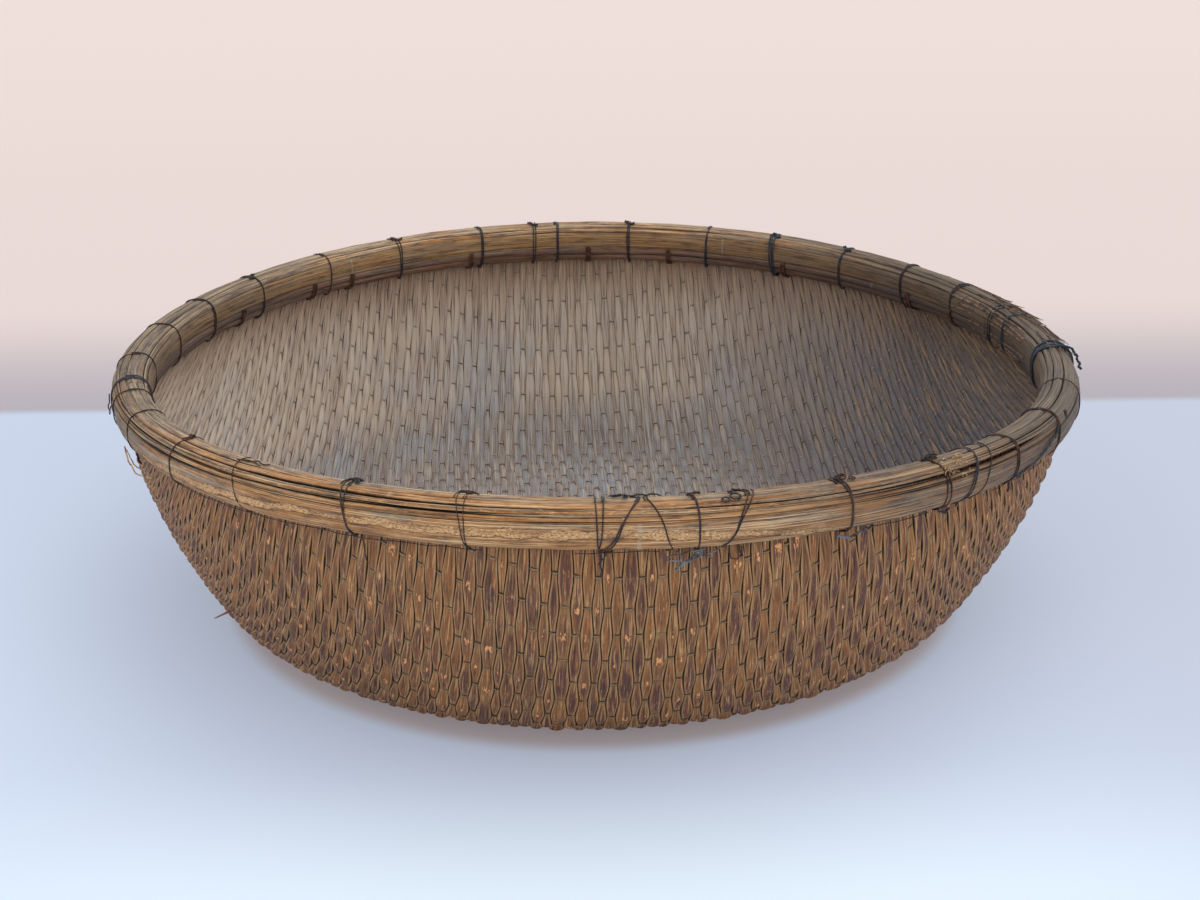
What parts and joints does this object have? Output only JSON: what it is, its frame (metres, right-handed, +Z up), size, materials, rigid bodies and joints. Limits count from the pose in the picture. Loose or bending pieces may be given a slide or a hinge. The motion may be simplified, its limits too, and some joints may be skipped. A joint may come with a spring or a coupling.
{
  "type": "harvest basket",
  "caption": "Wide shallow round harvest basket of twine-woven willow rods, with a bound rim of split slats tied with iron wire.",
  "frame": {"origin": "middle of the flat floor's underside, where the basket stands", "axes": "+Z up through the open mouth, -Y towards the front that the rods run to, +X towards the rim's wired joint"},
  "size_m": [0.6767, 0.6607, 0.1896],
  "materials": {
    "willow": "weathered bare willow",
    "rim_slats": "weathered split slats",
    "bamboo_strip": "smooth yellow-brown strip",
    "iron_wire": "dark oxidised wire",
    "twine": "dry plant-fibre twine"
  },
  "bodies": {
    "root": {"willow_rods_01": "willow", "willow_rods_02": "willow", "willow_rods_03": "willow", "willow_rods_04": "willow", "willow_rods_05": "willow", "willow_rods_06": "willow", "willow_rods_07": "willow", "willow_rods_08": "willow", "willow_rods_09": "willow", "willow_rods_10": "willow", "willow_rods_11": "willow", "willow_rods_12": "willow", "willow_rods_13": "willow", "rim_outer_lower_slat": "rim_slats", "rim_outer_middle_slat": "rim_slats", "rim_outer_upper_slat": "rim_slats", "rim_top_outer_slat": "rim_slats", "rim_top_inner_slat": "rim_slats", "rim_inner_broad_strip": "bamboo_strip", "rim_inner_packing_strip": "rim_slats", "rim_inner_lower_rods": "rim_slats", "rim_joint_cover_slat": "rim_slats", "wire_tie_01": "iron_wire", "wire_tie_02": "iron_wire", "wire_tie_03": "iron_wire", "wire_tie_04": "iron_wire", "wire_tie_05": "iron_wire", "wire_tie_06": "iron_wire", "wire_tie_07": "iron_wire", "wire_tie_08": "iron_wire", "wire_tie_09": "iron_wire", "wire_tie_10": "iron_wire", "wire_tie_11": "iron_wire", "wire_tie_12": "iron_wire", "wire_tie_13": "iron_wire", "wire_tie_14": "iron_wire", "wire_tie_15": "iron_wire", "wire_tie_16": "iron_wire", "wire_tie_17": "iron_wire", "wire_tie_18": "iron_wire", "wire_tie_19": "iron_wire", "wire_tie_20": "iron_wire", "wire_tie_21": "iron_wire", "wire_tie_22": "iron_wire", "wire_tie_23": "iron_wire", "wire_tie_24": "iron_wire", "wire_tie_25": "iron_wire", "wire_tie_26": "iron_wire", "wire_tie_27": "iron_wire", "wire_tie_28": "iron_wire", "wire_tie_29": "iron_wire", "wire_tie_30": "iron_wire", "wire_tie_31": "iron_wire", "wire_tie_32": "iron_wire", "wire_tie_33": "iron_wire", "wire_tie_34": "iron_wire", "wire_tie_35": "iron_wire", "wire_tie_36": "iron_wire", "joint_binding_wire": "iron_wire"}
  },
  "joints": []
}
